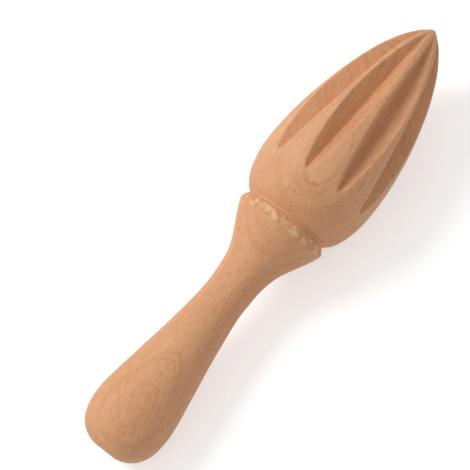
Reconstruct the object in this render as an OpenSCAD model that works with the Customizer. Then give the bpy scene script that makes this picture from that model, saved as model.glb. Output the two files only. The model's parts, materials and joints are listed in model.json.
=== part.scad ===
// Wooden citrus reamer, turned from one blank of beech and fluted with a V cutter.
// It lies on its belly and its bulb, as it rests on a table: the tip points to +X and +Z is up.
// All lengths are in millimetres. A profile point is [distance from the butt, radius].

/* [Handle] */
// Length from the butt to the bottom of the groove
handle_len = 90; // [75:1:120]
// Diameter of the bulb at the end of the handle
bulb_d = 26.5; // [22:0.5:32]
// Distance from the butt to the widest point of the bulb
bulb_x = 14.5; // [10:0.5:20]
// Diameter of the flat that is sanded on the butt where the blank left the lathe
butt_flat_d = 9; // [5:0.5:14]
// Diameter of the neck at its narrowest
neck_d = 14.6; // [11:0.2:19]
// Distance from the narrowest point of the neck to the bottom of the groove
neck_back = 30; // [24:1:40]

/* [Collar and groove] */
// Diameter of the collar at the crest of its rim
rim_d = 30.6; // [26:0.2:36]
// Distance from the crest of the rim to the bottom of the groove
rim_back = 2.6; // [1.8:0.1:4]
// Radius that rounds the rim
rim_round = 2.2; // [1.6:0.1:2.6]
// Angle of the collar's cone to the axis
collar_angle = 23; // [16:1:32]
// Diameter at the bottom of the groove
groove_d = 28.2; // [22:0.2:28.8]
// Width of the flat at the bottom of the groove
groove_floor = 0.4; // [0.2:0.1:0.6]

/* [Head] */
// Length from the bottom of the groove to the tip
head_len = 75; // [60:1:95]
// Diameter of the head at its belly
belly_d = 40; // [34:0.5:48]
// Distance from the bottom of the groove to the belly
belly_x = 19; // [14:1:24]
// Angle at which the head rises out of the groove
shoulder_angle = 56; // [45:1:62]
// Radius of the rounded tip
nose_r = 1.5; // [1.2:0.1:3]
// Angle of the head's outline to the axis where it meets the rounded tip
nose_angle = 54; // [48:1:62]

/* [Flutes] */
// Number of flutes round the head
flutes = 10; // [6:1:14]
// Angle between the two walls of a flute
flute_angle = 86; // [76:2:100]
// Distance from the bottom of the groove to the pointed lower end of a flute
flute_start = 13.8; // [10:0.2:22]
// Length of the short slope down which the cutter enters at a flute's lower end
flute_entry = 1.9; // [1:0.1:3]
// Radius of the bottom of a flute at its end, beside the tip
flute_end_r = 2.4; // [2:0.1:3]
// Distance from the tip back to the end of a flute
flute_end_back = 1.6; // [1.4:0.1:2]

/* [Hidden] */
$fn = 96;

groove_x = handle_len;
tip_x = handle_len + head_len;
neck_x = groove_x - neck_back;
rim_x = groove_x - rim_back;

// How far each curve is pulled along its end directions, as shares of the distance that it spans
butt_pull = [0.5, 0.29];
handle_pull = [0.14, 0.26];
collar_pull = [0.56, 0.44];
shoulder_pull = [0.3, 0.32];
ogive_pull = [0.36, 0.24];
flute_pull = [0.67, 0.22];
// Direction of the butt's dome at the edge of its flat
butt_angle = 77;
// Direction of the rim's far side, where it drops into the groove
rim_drop_angle = -50;
// Direction of the entry's slope
entry_angle = -42;
// How much flatter than the straight line between its ends a flute's bottom starts, and how much steeper it ends
flute_bow = [0.5, 18.5];
// Length by which a flute's cut runs on past each end, outside the wood
cut_overrun = 3;
// Straight steps in each curve
steps = 12;

// Unit step at an angle to the axis
function along(a) = [cos(a), sin(a)];

// Points of a cubic curve from p to q, without p. It leaves p at angle a and comes to q at angle b, and each pull
// is a share of the distance from p to q.
function curve(p, a, q, b, pull) =
    let (span = norm(q - p), p1 = p + pull[0] * span * along(a), q1 = q - pull[1] * span * along(b))
    [for (i = [1:steps]) let (t = i / steps, u = 1 - t)
        u * u * u * p + 3 * u * u * t * p1 + 3 * u * t * t * q1 + t * t * t * q];

// Points on a circle round c, from where its outline runs at angle a to where it runs at angle b, without the first
function round_over(c, r, a, b, n) =
    [for (i = [1:n]) let (d = a + (b - a) * i / n) c + r * [-sin(d), cos(d)]];

butt_edge = [0, butt_flat_d / 2];
bulb = [bulb_x, bulb_d / 2];
neck = [neck_x, neck_d / 2];
rim_centre = [rim_x, rim_d / 2 - rim_round];
rim_start = rim_centre + rim_round * [-sin(collar_angle), cos(collar_angle)];
groove_near = [groove_x - groove_floor / 2, groove_d / 2];
groove_far = [groove_x + groove_floor / 2, groove_d / 2];
belly = [groove_x + belly_x, belly_d / 2];
nose_centre = [tip_x - nose_r, 0];
nose_start = nose_centre + nose_r * [sin(nose_angle), cos(nose_angle)];

handle_outline = concat(
    [butt_edge],
    curve(butt_edge, butt_angle, bulb, 0, butt_pull),
    curve(bulb, 0, neck, 0, handle_pull),
    curve(neck, 0, rim_start, collar_angle, collar_pull),
    round_over(rim_centre, rim_round, collar_angle, rim_drop_angle, 6),
    [groove_near]
);
head_outline = concat(
    [groove_far],
    curve(groove_far, shoulder_angle, belly, 0, shoulder_pull),
    curve(belly, 0, nose_start, -nose_angle, ogive_pull),
    round_over(nose_centre, nose_r, -nose_angle, -90, 4)
);
outline = concat(handle_outline, head_outline);

// The bottom of a flute: a short slope into the wood, and then a long line that steepens towards the tip
flute_top = [groove_x + flute_start, lookup(groove_x + flute_start, head_outline)];
flute_from = flute_top + flute_entry * along(entry_angle);
flute_to = [tip_x - flute_end_back, flute_end_r];
flute_fall = atan2(flute_from[1] - flute_to[1], flute_to[0] - flute_from[0]);
flute_dirs = [flute_bow[0] - flute_fall, -flute_bow[1] - flute_fall];
flute_bottom = concat(
    [flute_top - cut_overrun * along(entry_angle), flute_from],
    curve(flute_from, flute_dirs[0], flute_to, flute_dirs[1], flute_pull),
    [flute_to + cut_overrun * along(flute_dirs[1])]
);

// The tilt at which a straight line touches both the bulb and the belly, and the place that it gives the part
rest_tilt = atan(min([for (p = handle_outline) max([for (q = head_outline) (q[1] - p[1]) / (q[0] - p[0])])]));
lowest = min([for (p = outline) p[0] * sin(rest_tilt) - p[1] * cos(rest_tilt)]);
back_x = min([for (p = outline) p[0] * cos(rest_tilt) - p[1] * sin(rest_tilt)]);
front_x = max([for (p = outline) p[0] * cos(rest_tilt) + p[1] * sin(rest_tilt)]);

// The outline turned round the axis, which runs up Z with the butt at zero
module turned_blank() {
    rotate_extrude() polygon(concat([[0, 0]], [for (p = outline) [p[1], p[0]]]));
}

// All that lies outside one wall of a flute. The wall is the flute's bottom, carried straight along the wall's
// slope, so its cut is an outline seen along that slope. The side is 1 or -1.
module wall_cut(side) {
    lean = flute_angle / 2;
    first = flute_bottom[0];
    last = flute_bottom[len(flute_bottom) - 1];
    rotate([0, 0, side * (lean - 90)]) rotate([90, 0, 0])
        linear_extrude(height = 2 * belly_d, center = true)
            polygon(concat(
                [for (p = flute_bottom) [p[1] * sin(lean), p[0]]],
                [[belly_d, last[0]], [belly_d, first[0]]]
            ));
}

// The wood that one flute takes away, on the +X side of the axis: a V whose edge is the flute's bottom
module flute_cut() {
    intersection() {
        wall_cut(1);
        wall_cut(-1);
    }
}

// The whole reamer. A flute faces down, so the belly rests on the two lands beside it and doesn't roll.
module reamer() {
    color("burlywood")
        translate([-(back_x + front_x) / 2, 0, -lowest]) rotate([0, 90 - rest_tilt, 0])
            difference() {
                turned_blank();
                for (i = [0:flutes - 1]) rotate([0, 0, i * 360 / flutes]) flute_cut();
            }
}

reamer();
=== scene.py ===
"""A wooden citrus reamer: one piece of beech, turned, fluted and sanded, on a plain pale floor."""

import json
import math

import bpy
import numpy as np
from bpy.props import FloatProperty, FloatVectorProperty, IntProperty, PointerProperty
from mathutils import Matrix, Vector


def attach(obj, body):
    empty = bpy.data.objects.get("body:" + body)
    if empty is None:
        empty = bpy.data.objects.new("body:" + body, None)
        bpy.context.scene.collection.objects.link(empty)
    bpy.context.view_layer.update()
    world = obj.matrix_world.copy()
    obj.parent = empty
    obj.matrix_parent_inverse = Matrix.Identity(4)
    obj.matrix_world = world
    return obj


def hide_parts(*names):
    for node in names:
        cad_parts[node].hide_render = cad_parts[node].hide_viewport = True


bl_info = {
    "name": "Wooden citrus reamer",
    "version": (1, 0, 0),
    "blender": (4, 5, 0),
    "location": "3D View > Sidebar > Reamer",
    "description": "Makes the turned and fluted beech surface of a citrus reamer, and a pale stage for it",
    "category": "Add Mesh",
}

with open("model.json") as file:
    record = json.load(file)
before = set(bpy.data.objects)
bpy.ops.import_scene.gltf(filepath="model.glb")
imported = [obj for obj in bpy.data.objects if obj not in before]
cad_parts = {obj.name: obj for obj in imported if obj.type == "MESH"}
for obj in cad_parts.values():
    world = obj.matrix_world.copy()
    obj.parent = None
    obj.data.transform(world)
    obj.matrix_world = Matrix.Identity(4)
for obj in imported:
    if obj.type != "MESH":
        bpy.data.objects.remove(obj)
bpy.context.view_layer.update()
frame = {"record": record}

# The turning axis, from the butt's flat face: it points to the tip, up is square to it, and side is to its
# right
flat_face = frame["record"]["mounts"][0]
BUTT = Vector(flat_face["pos_m"])
AXIS = -Vector(flat_face["axis"]).normalized()
SIDE = AXIS.cross(Vector((0, 0, 1))).normalized()
UP = SIDE.cross(AXIS)

MM = 0.001

# Points in each curve of the outline
CURVE_STEPS = 400

# How far each curve is pulled along its end directions, as shares of the distance that it spans
BUTT_PULL = (0.5, 0.29)
HANDLE_PULL = (0.14, 0.26)
COLLAR_PULL = (0.56, 0.44)
SHOULDER_PULL = (0.3, 0.32)
OGIVE_PULL = (0.36, 0.24)
FLUTE_PULL = (0.67, 0.22)

# Directions of the butt's dome at its flat, of the rim's far side and of the slope into a flute
BUTT_ANGLE = math.radians(77)
RIM_DROP_ANGLE = math.radians(-50)
ENTRY_ANGLE = math.radians(-42)

# How much flatter than the straight line between its ends a flute's bottom starts, and how much steeper it ends
FLUTE_BOW = (math.radians(0.5), math.radians(18.5))

# Length by which a flute's bottom runs on past each end, outside the wood
FLUTE_LEAD = 6 * MM

# The photograph's frame, the reamer's axis in it, its scale, and the camera's place
PHOTO_PX = 470
AXIS_POINT_PX = (279.6, 227.4)
AXIS_POINT_FROM_BUTT = 86.9 * MM
AXIS_RISE = math.radians(51.8)
PX_SIZE = 0.307 * MM
CAMERA_ROLL = math.radians(15.1)
CAMERA_LEAN = math.radians(6.3)
CAMERA_DISTANCE = 1.0
SENSOR_WIDTH = 36


def linear(hex_colour):
    """The linear RGBA of an sRGB hex colour."""
    parts = [int(hex_colour[i : i + 2], 16) / 255 for i in (1, 3, 5)]
    return [c / 12.92 if c <= 0.04045 else ((c + 0.055) / 1.055) ** 2.4 for c in parts] + [1.0]


def length(name, millimetres, description):
    """A length property with its default in millimetres."""
    return FloatProperty(
        name=name, description=description, default=millimetres * MM, unit="LENGTH", precision=5
    )


def angle(name, degrees, description):
    """An angle property with its default in degrees."""
    return FloatProperty(name=name, description=description, default=math.radians(degrees), subtype="ANGLE")


def colour(name, hex_colour, description):
    """A colour property with its default as an sRGB hex value."""
    return FloatVectorProperty(
        name=name, description=description, default=linear(hex_colour), size=4, subtype="COLOR", min=0, max=1
    )


class ReamerSizes(bpy.types.PropertyGroup):
    """Sizes of the turned blank and its flutes, as the solid model has them."""

    handle_len: length("Handle", 90, "Length from the butt to the bottom of the groove")
    bulb_d: length("Bulb", 26.5, "Diameter of the bulb at the end of the handle")
    bulb_x: length("Bulb place", 14.5, "Distance from the butt to the widest point of the bulb")
    butt_flat_d: length("Butt flat", 9, "Diameter of the flat that is sanded on the butt")
    neck_d: length("Neck", 14.6, "Diameter of the neck at its narrowest")
    neck_back: length("Neck place", 30, "Distance from the neck to the bottom of the groove")
    rim_d: length("Rim", 30.6, "Diameter of the collar at the crest of its rim")
    rim_back: length("Rim place", 2.6, "Distance from the rim's crest to the bottom of the groove")
    rim_round: length("Rim radius", 2.2, "Radius that rounds the rim")
    collar_angle: angle("Collar", 23, "Angle of the collar's cone to the axis")
    groove_d: length("Groove", 28.2, "Diameter at the bottom of the groove")
    groove_floor: length("Groove floor", 0.4, "Width of the flat at the bottom of the groove")
    head_len: length("Head", 75, "Length from the bottom of the groove to the tip")
    belly_d: length("Belly", 40, "Diameter of the head at its belly")
    belly_x: length("Belly place", 19, "Distance from the groove to the belly")
    shoulder_angle: angle("Shoulder", 56, "Angle at which the head rises out of the groove")
    nose_r: length("Nose", 1.5, "Radius of the rounded tip")
    nose_angle: angle("Nose angle", 54, "Angle of the outline where it meets the rounded tip")
    flutes: IntProperty(name="Flutes", description="Number of flutes round the head", default=10, min=6, max=14)
    flute_angle: angle("Flute", 86, "Angle between the two walls of a flute")
    flute_start: length("Flute start", 13.8, "Distance from the groove to a flute's lower end")
    flute_entry: length("Flute entry", 1.9, "Length of the short slope down which the cutter enters")
    flute_end_r: length("Flute end", 2.4, "Radius of a flute's bottom at its end, beside the tip")
    flute_end_back: length("Flute end place", 1.6, "Distance from the tip back to a flute's end")
    soft_edge: length("Sanding", 0.28, "How far sanding has rounded the edges of the flutes")


class ReamerColours(bpy.types.PropertyGroup):
    """Colours of plain beech, and of the stage."""

    early_wood: colour("Early wood", "#E4AC80", "The pale wood that grows in spring")
    late_wood: colour("Late wood", "#C98A60", "The darker line at the end of a year's growth")
    ray: colour("Rays", "#B87550", "The short dark flecks of the rays")
    pore: colour("Pores", "#A66E4C", "The fine open pores along the grain")
    # Torn grain on the rim, painted lighter as a highlight where its raised fibres catch the light; a small
    # share is also a painted highlight on the head's lands
    torn_and_highlight: colour("Torn grain", "#F0C8A0", "Raised fibres that catch the light on the rim")
    floor: colour("Floor", "#F4F4F4", "The pale floor")


def along(a):
    """Unit step at an angle to the axis, as distance from the butt and radius."""
    return np.array([math.cos(a), math.sin(a)])


def cubic(p, a, q, b, pull):
    """Points of a cubic curve from p to q, without p: it leaves p at angle a, comes to q at angle b, and is
    pulled along both directions by shares of the distance that it spans."""
    p, q = np.array(p), np.array(q)
    span = np.linalg.norm(q - p)
    p1, q1 = p + pull[0] * span * along(a), q - pull[1] * span * along(b)
    t = np.linspace(0, 1, CURVE_STEPS + 1)[1:, None]
    u = 1 - t
    return u**3 * p + 3 * u**2 * t * p1 + 3 * u * t**2 * q1 + t**3 * q


def arc(centre, r, a, b):
    """Points on a circle round the centre, from where the outline runs at angle a to where it runs at angle b,
    without the first."""
    d = np.linspace(a, b, CURVE_STEPS + 1)[1:]
    return np.array(centre) + r * np.stack([-np.sin(d), np.cos(d)], axis=1)


def blank_outline(s):
    """The turned outline as rows of [distance from the butt, radius], from the butt's centre to the tip: a
    small flat, a dome, a long taper to the neck, a cone with a rounded rim, a V groove, a shoulder, and a
    nose."""
    groove_x = s.handle_len
    tip_x = s.handle_len + s.head_len
    butt_edge = (0, s.butt_flat_d / 2)
    bulb = (s.bulb_x, s.bulb_d / 2)
    neck = (groove_x - s.neck_back, s.neck_d / 2)
    rim_centre = (groove_x - s.rim_back, s.rim_d / 2 - s.rim_round)
    rim_start = np.array(rim_centre) + s.rim_round * along(s.collar_angle + math.pi / 2)
    near = (groove_x - s.groove_floor / 2, s.groove_d / 2)
    far = (groove_x + s.groove_floor / 2, s.groove_d / 2)
    belly = (groove_x + s.belly_x, s.belly_d / 2)
    nose_centre = (tip_x - s.nose_r, 0)
    nose_start = np.array(nose_centre) + s.nose_r * along(math.pi / 2 - s.nose_angle)
    return np.vstack(
        [
            (0, 0),
            butt_edge,
            cubic(butt_edge, BUTT_ANGLE, bulb, 0, BUTT_PULL),
            cubic(bulb, 0, neck, 0, HANDLE_PULL),
            cubic(neck, 0, rim_start, s.collar_angle, COLLAR_PULL),
            arc(rim_centre, s.rim_round, s.collar_angle, RIM_DROP_ANGLE),
            near,
            far,
            cubic(far, s.shoulder_angle, belly, 0, SHOULDER_PULL),
            cubic(belly, 0, nose_start, -s.nose_angle, OGIVE_PULL),
            arc(nose_centre, s.nose_r, -s.nose_angle, math.radians(-90)),
        ]
    )


def flute_path(s, outline):
    """The bottom of a flute as rows of [distance, radius]: a short slope into the wood, and then a cubic curve
    to the flute's end beside the tip, which steepens on the way. Both ends run on outside the wood."""
    start_x = s.handle_len + s.flute_start
    head = outline[outline[:, 0] > s.handle_len]
    top = np.array([start_x, np.interp(start_x, head[:, 0], head[:, 1])])
    entry = along(ENTRY_ANGLE)
    start = top + s.flute_entry * entry
    end = np.array([s.handle_len + s.head_len - s.flute_end_back, s.flute_end_r])
    fall = math.atan2(start[1] - end[1], end[0] - start[0])
    a = FLUTE_BOW[0] - fall
    b = -FLUTE_BOW[1] - fall
    curve = cubic(start, a, end, b, FLUTE_PULL)
    return np.vstack([top - FLUTE_LEAD * entry, start, curve, end + FLUTE_LEAD * along(b)])


def soft_min(a, b, width):
    """The smaller of two fields, with the corner where they meet rounded over a width."""
    h = np.clip(0.5 + 0.5 * (b - a) / width, 0, 1)
    return b * (1 - h) + a * h - width * h * (1 - h)


def waves(points, size, seed, count=24):
    """A smooth field near -1 to 1 at the given points: the mean of plane waves about as long as size, with
    directions and phases from the seed. It runs on all sides of the piece without a seam."""
    rng = np.random.default_rng(seed)
    turns = rng.normal(size=(count, 3)) / np.array(size) * 2.2
    phases = rng.uniform(0, 2 * math.pi, count)
    total = sum(np.cos(points @ k + phase) for k, phase in zip(turns, phases, strict=True))
    return total * math.sqrt(2 / count) / 1.6


def step_up(x, low, high):
    """A smooth rise from 0 at low to 1 at high."""
    t = np.clip((x - low) / (high - low), 0, 1)
    return t * t * (3 - 2 * t)


def wall_radius(bottom, phi, half):
    """Radius of a flute's wall at an angle phi from the flute's centre: in the cross-section a wall is a
    straight line at half the flute's angle from the flute's bottom, so it stands at
    bottom sin(half) / sin(half - phi)."""
    return bottom * math.sin(half) / np.sin(np.clip(half - phi, 0.05, half))


def land_edge(s, blank, bottom):
    """Angle from a flute's centre at which its wall reaches the blank's surface, and zero where no flute is
    cut."""
    half = s.flute_angle / 2
    share = np.clip(bottom / np.maximum(blank, 1e-9), 0, 1)
    return half - np.arcsin(share * math.sin(half))


# Shares of a flute's wall, from its bottom to the land, and of the half land beyond, at which the columns stand
WALL_SHARES = np.array([0, 0.03, 0.08, 0.16, 0.27, 0.4, 0.54, 0.68, 0.8, 0.89, 0.95, 0.98])
LAND_SHARES = np.array([0, 0.12, 0.3, 0.6, 1])


def column_angles(s, x, edge):
    """Turn of each column, for each row: over each half of a flute the columns stand at the wall's shares up to
    the land's edge, and at the land's shares up to the middle of the land. So a line of the grid runs along the
    bottom and both edges of every flute. On the handle the same columns are spread evenly."""
    half_pitch = math.pi / s.flutes
    near = s.handle_len + s.flute_start
    rest = half_pitch * (0.72 - 0.6 * step_up(x, s.handle_len, near))
    fluted_edge = np.maximum(edge, 0.12 * half_pitch)
    turn = np.where(x < near, rest, fluted_edge)
    turn = np.minimum(turn, 0.93 * half_pitch)
    wall = WALL_SHARES[None, :] * turn
    land = turn + LAND_SHARES[None, :] * (half_pitch - turn)
    half = np.hstack([wall, land])
    both = np.hstack([half[:, :-1], 2 * half_pitch - half[:, :0:-1]])
    starts = np.arange(s.flutes) * 2 * half_pitch
    return (starts[None, :, None] + both[:, None, :]).reshape(len(x), -1)


def fluted(s, blank, bottom, theta):
    """Radius of the head where the flutes cut it: the wood ends at the blank or at the nearer of two walls.
    Sanding has rounded the edges between them, and the cutter's tip is 0.14 mm blunt."""
    pitch = 2 * math.pi / s.flutes
    half = s.flute_angle / 2
    turn = np.mod(theta, pitch)
    soft = s.soft_edge * step_up(blank, 0, 5 * MM) + 0.01 * MM
    blunt = 0.14 * MM / np.maximum(bottom, 2 * MM)
    near = wall_radius(bottom, np.sqrt(turn**2 + blunt**2), half)
    other = wall_radius(bottom, np.sqrt((pitch - turn) ** 2 + blunt**2), half)
    return soft_min(blank, np.minimum(near, other), soft)


def torn_rim(s, x, points):
    """Depth torn out of the collar's rim, and how much raised fibre shows there, which the material also paints
    lighter as a highlight where the fibres catch the light. Both follow two crossing wave fields, inside a band
    that runs from the cone's last 3 mm over the crest to the groove."""
    crest = s.handle_len - s.rim_back
    band = step_up(x, crest - 2.6 * MM, crest - 0.6 * MM) * (1 - step_up(x, crest + 0.9 * MM, crest + 1.7 * MM))
    coarse = waves(points, (2.2 * MM, 1.6 * MM, 1.6 * MM), 11)
    fine = waves(points, (0.9 * MM, 0.8 * MM, 0.8 * MM), 12)
    patch = coarse + 0.6 * fine
    depth = 0.34 * MM * step_up(patch, 0.25, 0.9) * band
    # Where raised fibre shows, the wood stands 0.06 mm proud and its colour is also painted lighter as a
    # highlight
    raised_and_highlight = step_up(-patch, 0.05, 0.7) * band
    return depth, raised_and_highlight


def grid_mesh(name, points, tip, values):
    """A closed mesh from rows of rings, with a pole at the butt and one at the tip. Values are attributes."""
    rows, columns = points.shape[:2]
    poles = np.array([BUTT, BUTT + AXIS * tip])
    i, j = np.meshgrid(np.arange(rows - 1), np.arange(columns), indexing="ij")
    k = (j + 1) % columns
    quads = np.stack([i * columns + j, i * columns + k, (i + 1) * columns + k, (i + 1) * columns + j], axis=-1)
    ring = np.arange(columns)
    after = (ring + 1) % columns
    last = (rows - 1) * columns
    butt = np.stack([np.full(columns, rows * columns), after, ring], axis=1)
    nose = np.stack([np.full(columns, rows * columns + 1), last + ring, last + after], axis=1)
    mesh = bpy.data.meshes.new(name)
    faces = quads.reshape(-1, 4).tolist() + butt.tolist() + nose.tolist()
    mesh.from_pydata(np.vstack([points.reshape(-1, 3), poles]).tolist(), [], faces)
    for label, field in values.items():
        attribute = mesh.attributes.new(label, "FLOAT", "POINT")
        attribute.data.foreach_set("value", np.concatenate([field.ravel(), [0.0, 0.0]]).astype(np.float32))
    mesh.polygons.foreach_set("use_smooth", np.ones(len(mesh.polygons), dtype=bool))
    mesh.update()
    return mesh


def row_places(s, outline):
    """Rows of the grid as [distance, radius], set along the outline closer where more happens: the spacing in
    millimetres is read from a table over the distance from the butt."""
    steps = np.linalg.norm(np.diff(outline, axis=0), axis=1)
    run = np.concatenate([[0], np.cumsum(steps)])
    groove, tip = s.handle_len / MM, (s.handle_len + s.head_len) / MM
    start = groove + s.flute_start / MM
    places = [0, 8, 30, groove - 12, groove - 6, groove + 1, groove + 5]
    places += [start - 3, start - 1, start + 4, start + 9]
    gaps = [0.5, 0.8, 1.2, 1.2, 0.28, 0.28, 0.5, 0.5, 0.3, 0.3, 0.6]
    places += [tip - 22, tip - 8, tip]
    gaps += [0.65, 0.4, 0.16]
    spacing = np.interp(outline[:, 0] / MM, places, gaps) * MM
    count = np.concatenate([[0], np.cumsum(steps / ((spacing[1:] + spacing[:-1]) / 2))])
    wanted = np.linspace(0, count[-1], int(count[-1]) + 2)[1:-1]
    at = np.interp(wanted, count, run)
    return np.stack([np.interp(at, run, outline[:, 0]), np.interp(at, run, outline[:, 1])], axis=1)


def reamer_mesh(s):
    """The reamer's surface: radius over distance and turn, from the outline and the flutes, less what is torn
    out of the rim, plus faint ripples that the gouge and the sandpaper left."""
    outline = blank_outline(s)
    rows = row_places(s, outline)
    x, blank = rows[:, :1], rows[:, 1:]
    path = flute_path(s, outline)
    bottom = np.interp(x, path[:, 0], path[:, 1], left=s.belly_d, right=s.belly_d)
    theta = column_angles(s, x, land_edge(s, blank, bottom))
    radius = fluted(s, blank, bottom, theta)
    up, side = np.array(UP), np.array(SIDE)
    outward = np.cos(theta)[..., None] * up + np.sin(theta)[..., None] * side
    local = np.stack([x + 0 * theta, radius * np.cos(theta), radius * np.sin(theta)], axis=-1)
    depth, raised_and_highlight = torn_rim(s, x, local)
    ripple = waves(local, (9 * MM, 5 * MM, 5 * MM), 3) * 0.045 * MM
    settle = step_up(radius, 1 * MM, 5 * MM)
    # Painted highlight mask: 1 where the head, from 100 mm on, lies within 0.5 mm of the blank, so the lands and
    # flute edges are painted lighter than the flutes' depths
    edge = np.clip(1 - np.abs(blank - radius) / (0.5 * MM), 0, 1) * step_up(x, 100 * MM, 104 * MM)
    radius = radius - depth + 0.06 * MM * raised_and_highlight + ripple * settle
    points = np.array(BUTT) + x[..., None] * np.array(AXIS) + radius[..., None] * outward
    return grid_mesh("turned_reamer", points, s.handle_len + s.head_len, {"raised_and_highlight": raised_and_highlight, "edge": edge})


def add(tree, kind, inputs=None, **settings):
    """Adds one shader node with its settings, and its inputs as values or as links from sockets."""
    made = tree.nodes.new(kind)
    for name, value in settings.items():
        setattr(made, name, value)
    for key, value in (inputs or {}).items():
        if isinstance(value, bpy.types.NodeSocket):
            tree.links.new(value, made.inputs[key])
        else:
            made.inputs[key].default_value = value
    return made


def beech_sanded(c):
    """Sanded, unvarnished beech. Its year rings lie in nearly flat layers, which every cut surface shows as
    contour lines: ovals on the bulb, nested curves on the belly and slanted lines in the flutes. Rays show as
    short dark flecks along the grain, and the surface is satin matt."""
    material = bpy.data.materials.new("beech_sanded")
    material.use_nodes = True
    tree = material.node_tree
    tree.nodes.clear()
    out = add(tree, "ShaderNodeOutputMaterial")
    place = add(tree, "ShaderNodeTexCoord").outputs["Object"]

    # Wood directions in millimetres: X along the grain, Y along the ring layers and Z across them
    layer_turn = math.radians(-10)
    tilt = math.atan2(AXIS.z, AXIS.x)
    turn = Matrix.Rotation(layer_turn, 3, "X") @ Matrix.Rotation(tilt, 3, "Y")
    shift = turn @ (-BUTT / MM)
    wood = add(
        tree,
        "ShaderNodeMapping",
        {
            "Vector": place,
            "Location": shift,
            "Rotation": turn.to_euler("XYZ"),
            "Scale": (1 / MM, 1 / MM, 1 / MM),
        },
    ).outputs["Vector"]

    # Depth in the layers, with a slow wander of up to about 0.4 mm either way, bent round a pith 90 mm below
    wander = add(
        tree,
        "ShaderNodeTexNoise",
        {
            "Vector": add(tree, "ShaderNodeMapping", {"Vector": wood, "Scale": (0.035, 0.11, 0.11)}).outputs[0],
            "Scale": 1.0,
            "Detail": 3.0,
            "Roughness": 0.55,
        },
    ).outputs["Fac"]
    parts = add(tree, "ShaderNodeSeparateXYZ", {"Vector": wood})
    pith = 90.0
    wander_mm = 1.6
    height = add(tree, "ShaderNodeMath", {0: parts.outputs["Z"], 1: pith}, operation="ADD").outputs[0]
    ring_place = add(tree, "ShaderNodeCombineXYZ", {"X": parts.outputs["Y"], "Y": height}).outputs[0]
    from_pith = add(tree, "ShaderNodeVectorMath", {0: ring_place}, operation="LENGTH").outputs["Value"]
    bent = add(
        tree, "ShaderNodeMath", {0: wander, 1: wander_mm, 2: from_pith}, operation="MULTIPLY_ADD"
    ).outputs[0]
    ring_width = 0.56
    years = add(tree, "ShaderNodeMath", {0: bent, 1: ring_width}, operation="DIVIDE").outputs[0]
    season = add(tree, "ShaderNodeMath", {0: years}, operation="FRACT").outputs[0]
    year = add(tree, "ShaderNodeMath", {0: years}, operation="FLOOR").outputs[0]
    late = add(tree, "ShaderNodeValToRGB", {"Fac": season})
    stops = late.color_ramp.elements
    shades = ((0.0, 0.25), (0.08, 0.3), (0.5, 0.12), (0.82, 0.55), (0.95, 1.0), (1.0, 1.0))
    for spot, _ in shades[1:-1]:
        stops.new(spot)
    for stop, (_, shade) in zip(stops, shades, strict=True):
        stop.color = (shade, shade, shade, 1)
    strength = add(tree, "ShaderNodeTexWhiteNoise", {"W": year}, noise_dimensions="1D").outputs["Value"]
    ring_dark = add(
        tree, "ShaderNodeMath", {0: late.outputs["Color"], 1: strength}, operation="MULTIPLY"
    ).outputs[0]

    def streaks(scale, low, high, detail=2.0):
        """Noise stretched by the scale per millimetre, cut to 0 below low and 1 above high."""
        field = add(
            tree,
            "ShaderNodeTexNoise",
            {
                "Vector": add(tree, "ShaderNodeMapping", {"Vector": wood, "Scale": scale}).outputs[0],
                "Scale": 1.0,
                "Detail": detail,
                "Roughness": 0.6,
            },
        ).outputs["Fac"]
        return add(
            tree, "ShaderNodeMapRange", {"Value": field, "From Min": low, "From Max": high}, clamp=True
        ).outputs["Result"]

    fibre = streaks((0.12, 1.5, 1.5), 0.3, 0.7, 4.0)
    cloud = streaks((0.04, 0.16, 0.16), 0.3, 0.7)
    # Rays are tall along the grain, thin along the layers and deep across them. They are drawn 0.3 mm thick,
    # about twice their real thickness, so that they show.
    ray = streaks((0.42, 2.6, 0.3), 0.61, 0.7, 1.0)
    pore = streaks((0.3, 3.4, 3.4), 0.62, 0.74, 1.0)

    def layered(first, second, fac, share):
        """The first colour, with a share of the second where fac is 1."""
        part = add(tree, "ShaderNodeMath", {0: fac, 1: share}, operation="MULTIPLY").outputs[0]
        mix = add(tree, "ShaderNodeMix", {0: part, 6: first, 7: second}, data_type="RGBA")
        return mix.outputs[2]

    early = tuple(c.early_wood)
    late_wood = tuple(c.late_wood)
    tone = layered(early, late_wood, ring_dark, 0.85)
    tone = layered(tone, late_wood, fibre, 0.28)
    tone = layered(tone, late_wood, cloud, 0.3)
    tone = layered(tone, tuple(c.pore), pore, 0.35)
    tone = layered(tone, tuple(c.ray), ray, 0.45)
    # Painted highlight: the rim's raised fibres are lightened with the torn grain colour, as where they catch
    # the light
    raised_and_highlight = add(tree, "ShaderNodeAttribute", attribute_name="raised_and_highlight").outputs["Fac"]
    edge = add(tree, "ShaderNodeAttribute", attribute_name="edge").outputs["Fac"]
    tone = layered(tone, tuple(c.torn_and_highlight), raised_and_highlight, 0.7)
    # Painted highlight on the head's lands and flute edges, a small share of the torn grain colour; the flutes'
    # depths stay darker
    tone = layered(tone, tuple(c.torn_and_highlight), edge, 0.12)

    # Height for the bump, in shares of its distance of 0.12 mm: fibres stand, rays and pores are sunk
    grain_h = add(tree, "ShaderNodeMath", {0: fibre, 1: 0.35, 2: ring_dark}, operation="MULTIPLY_ADD").outputs[0]
    sunk = add(tree, "ShaderNodeMath", {0: pore, 1: ray}, operation="ADD").outputs[0]
    relief = add(tree, "ShaderNodeMath", {0: grain_h, 1: sunk}, operation="SUBTRACT").outputs[0]
    bump = add(tree, "ShaderNodeBump", {"Height": relief, "Strength": 0.35, "Distance": 0.12 * MM}).outputs[0]
    shader = add(
        tree,
        "ShaderNodeBsdfPrincipled",
        {"Base Color": tone, "Roughness": 0.58, "IOR": 1.45, "Normal": bump},
    )
    shader.inputs["Specular IOR Level"].default_value = 0.35
    tree.links.new(shader.outputs[0], out.inputs["Surface"])
    return material


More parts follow.
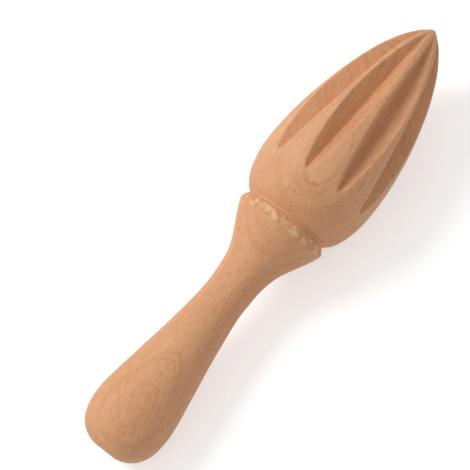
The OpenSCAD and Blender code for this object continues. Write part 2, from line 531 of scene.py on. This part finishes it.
def pale_floor(c):
    """Pale matt card. The camera and reflections see it glow, which makes it white, and it keeps the soft shadow
    under the piece."""
    material = bpy.data.materials.new("white_card")
    material.use_nodes = True
    tree = material.node_tree
    tree.nodes.clear()
    out = add(tree, "ShaderNodeOutputMaterial")
    ray = add(tree, "ShaderNodeLightPath").outputs
    mirrored = add(tree, "ShaderNodeMath", {0: ray["Is Camera Ray"], 1: ray["Is Glossy Ray"]}, operation="ADD")
    seen = add(
        tree,
        "ShaderNodeMath",
        {0: mirrored.outputs[0], 1: ray["Is Transmission Ray"]},
        operation="ADD",
        use_clamp=True,
    ).outputs[0]
    card = add(tree, "ShaderNodeBsdfDiffuse", {"Color": tuple(c.floor)}).outputs[0]
    glow = add(tree, "ShaderNodeEmission", {"Color": (1, 1, 1, 1), "Strength": 0.45}).outputs[0]
    both = add(tree, "ShaderNodeAddShader", {0: card, 1: glow}).outputs[0]
    surface = add(tree, "ShaderNodeMixShader", {"Fac": seen, 1: card, 2: both}).outputs[0]
    tree.links.new(surface, out.inputs["Surface"])
    return material


class REAMER_OT_turn_piece(bpy.types.Operator):
    """Make the turned and fluted beech surface, and set it in the place of the solid model"""

    bl_idname = "reamer.turn_piece"
    bl_label = "Turn the reamer"

    def execute(self, context):
        mesh = reamer_mesh(context.scene.reamer_sizes)
        mesh.materials.append(beech_sanded(context.scene.reamer_colours))
        piece = bpy.data.objects.new("turned_reamer", mesh)
        context.collection.objects.link(piece)
        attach(piece, "root")
        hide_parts("reamer")
        return {"FINISHED"}


class REAMER_OT_set_stage(bpy.types.Operator):
    """Make the pale floor, the soft studio light and the camera at the photograph's angle"""

    bl_idname = "reamer.set_stage"
    bl_label = "Set the stage"

    def execute(self, context):
        scene = context.scene
        bpy.ops.mesh.primitive_plane_add(size=4)
        floor = context.active_object
        floor.name = "floor"
        floor.data.materials.append(pale_floor(scene.reamer_colours))
        self.light(scene)
        self.camera(scene)
        scene.view_settings.view_transform = "Standard"
        return {"FINISHED"}

    def light(self, scene):
        """A white sky, and a wide soft lamp from the left of the head's direction."""
        world = bpy.data.worlds.new("studio")
        world.use_nodes = True
        sky = world.node_tree.nodes["Background"]
        sky.inputs["Color"].default_value = (1, 1, 1, 1)
        sky.inputs["Strength"].default_value = 0.5
        scene.world = world
        lamp = bpy.data.lights.new("softbox", "AREA")
        lamp.shape = "DISK"
        lamp.size = 0.5
        lamp.energy = 4.5
        holder = bpy.data.objects.new("softbox", lamp)
        towards = (-SIDE * 0.75 + Vector((-0.15, 0, 0)) + Vector((0, 0, 1)) * 0.9).normalized()
        holder.location = towards * 0.9
        holder.rotation_euler = towards.to_track_quat("Z", "Y").to_euler()
        scene.collection.objects.link(holder)

    def camera(self, scene):
        """A long lens that looks down on the piece from 15 degrees to its right and 6 degrees towards the butt,
        turned so that the axis rises to the right as in the photograph."""
        across = UP * math.cos(CAMERA_ROLL) + SIDE * math.sin(CAMERA_ROLL)
        back = (across * math.cos(CAMERA_LEAN) - AXIS * math.sin(CAMERA_LEAN)).normalized()
        flat_axis = (AXIS - back * AXIS.dot(back)).normalized()
        flat_side = flat_axis.cross(back).normalized()
        right = flat_axis * math.cos(AXIS_RISE) + flat_side * math.sin(AXIS_RISE)
        upward = back.cross(right)
        off_right = (AXIS_POINT_PX[0] - PHOTO_PX / 2) * PX_SIZE
        off_up = (PHOTO_PX / 2 - AXIS_POINT_PX[1]) * PX_SIZE
        aim = BUTT + AXIS * AXIS_POINT_FROM_BUTT - right * off_right - upward * off_up
        data = bpy.data.cameras.new("camera")
        data.sensor_width = SENSOR_WIDTH
        data.lens = SENSOR_WIDTH * CAMERA_DISTANCE / (PHOTO_PX * PX_SIZE)
        data.clip_start = 0.05
        data.clip_end = 10
        camera = bpy.data.objects.new("camera", data)
        turned = Matrix((right, upward, back)).transposed().to_4x4()
        camera.matrix_world = Matrix.Translation(aim + back * CAMERA_DISTANCE) @ turned
        scene.collection.objects.link(camera)
        scene.camera = camera


class REAMER_PT_sidebar(bpy.types.Panel):
    """The reamer's sizes, colours and steps"""

    bl_label = "Citrus reamer"
    bl_idname = "REAMER_PT_sidebar"
    bl_space_type = "VIEW_3D"
    bl_region_type = "UI"
    bl_category = "Reamer"

    def draw(self, context):
        for group in (context.scene.reamer_sizes, context.scene.reamer_colours):
            column = self.layout.column(align=True)
            for name in group.__annotations__:
                column.prop(group, name)
        for operator in (REAMER_OT_turn_piece, REAMER_OT_set_stage):
            self.layout.operator(operator.bl_idname)


CLASSES = (ReamerSizes, ReamerColours, REAMER_OT_turn_piece, REAMER_OT_set_stage, REAMER_PT_sidebar)


def register():
    for cls in CLASSES:
        bpy.utils.register_class(cls)
    bpy.types.Scene.reamer_sizes = PointerProperty(type=ReamerSizes)
    bpy.types.Scene.reamer_colours = PointerProperty(type=ReamerColours)


def unregister():
    del bpy.types.Scene.reamer_colours
    del bpy.types.Scene.reamer_sizes
    for cls in reversed(CLASSES):
        bpy.utils.unregister_class(cls)


def main():
    register()
    bpy.ops.reamer.turn_piece()
    bpy.ops.reamer.set_stage()


if __name__ == "__main__":
    main()
